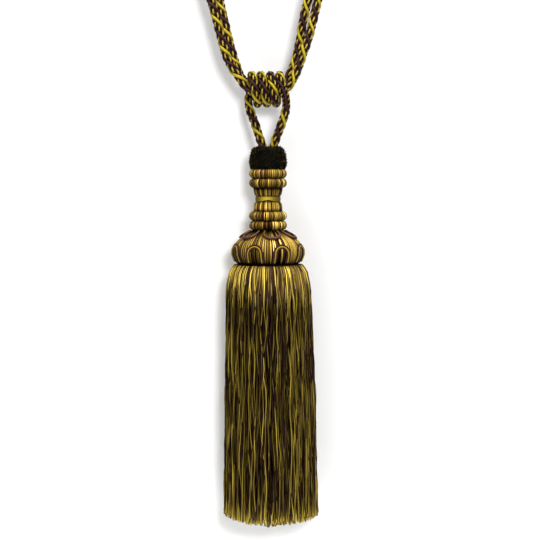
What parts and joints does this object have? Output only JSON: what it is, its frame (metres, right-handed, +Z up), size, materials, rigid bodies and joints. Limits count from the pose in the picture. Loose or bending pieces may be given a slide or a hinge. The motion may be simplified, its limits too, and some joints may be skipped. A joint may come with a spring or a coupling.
{
  "type": "curtain tieback",
  "caption": "Tasselled curtain tieback: a doubled twisted cord with two eyes, a knot, a yarn-wound head and a long cut skirt in gold and dark brown.",
  "frame": {"origin": "on the tassel's axis, level with the insides of the two eyes, where the wall hooks bear", "axes": "+Z up, opposite to the hang; -Y towards the viewer; +X to the viewer's right, along the knot"},
  "size_m": [0.1253, 0.077, 0.4649],
  "materials": {
    "two_tone_cord": "two-tone yarn plies, dark brown and gold, with yellow and aubergine satin gimps between them",
    "dark_pile": "near-black cut pile with gold tips",
    "wound_yarn": "satin gold yarn wound with fine aubergine stripes",
    "gold_ribbon": "smooth satin",
    "gimp": "satin gimp, aubergine with a gold line",
    "cut_strands": "lustrous cut yarns, gold and dark brown mixed"
  },
  "bodies": {
    "root": {"embrace_cord": "two_tone_cord", "hanging_cord": "two_tone_cord", "collar": "dark_pile", "ring_1": "wound_yarn", "ring_2": "wound_yarn", "ring_3": "wound_yarn", "ring_4": "wound_yarn", "spool": "wound_yarn", "bulb": "wound_yarn", "waist_band": "gold_ribbon", "petal_1": "gimp", "petal_2": "gimp", "petal_3": "gimp", "petal_4": "gimp", "petal_5": "gimp", "petal_6": "gimp", "arch_1": "gimp", "arch_2": "gimp", "arch_3": "gimp", "arch_4": "gimp", "arch_5": "gimp", "arch_6": "gimp", "arch_7": "gimp", "arch_8": "gimp", "skirt": "cut_strands"}
  },
  "joints": []
}
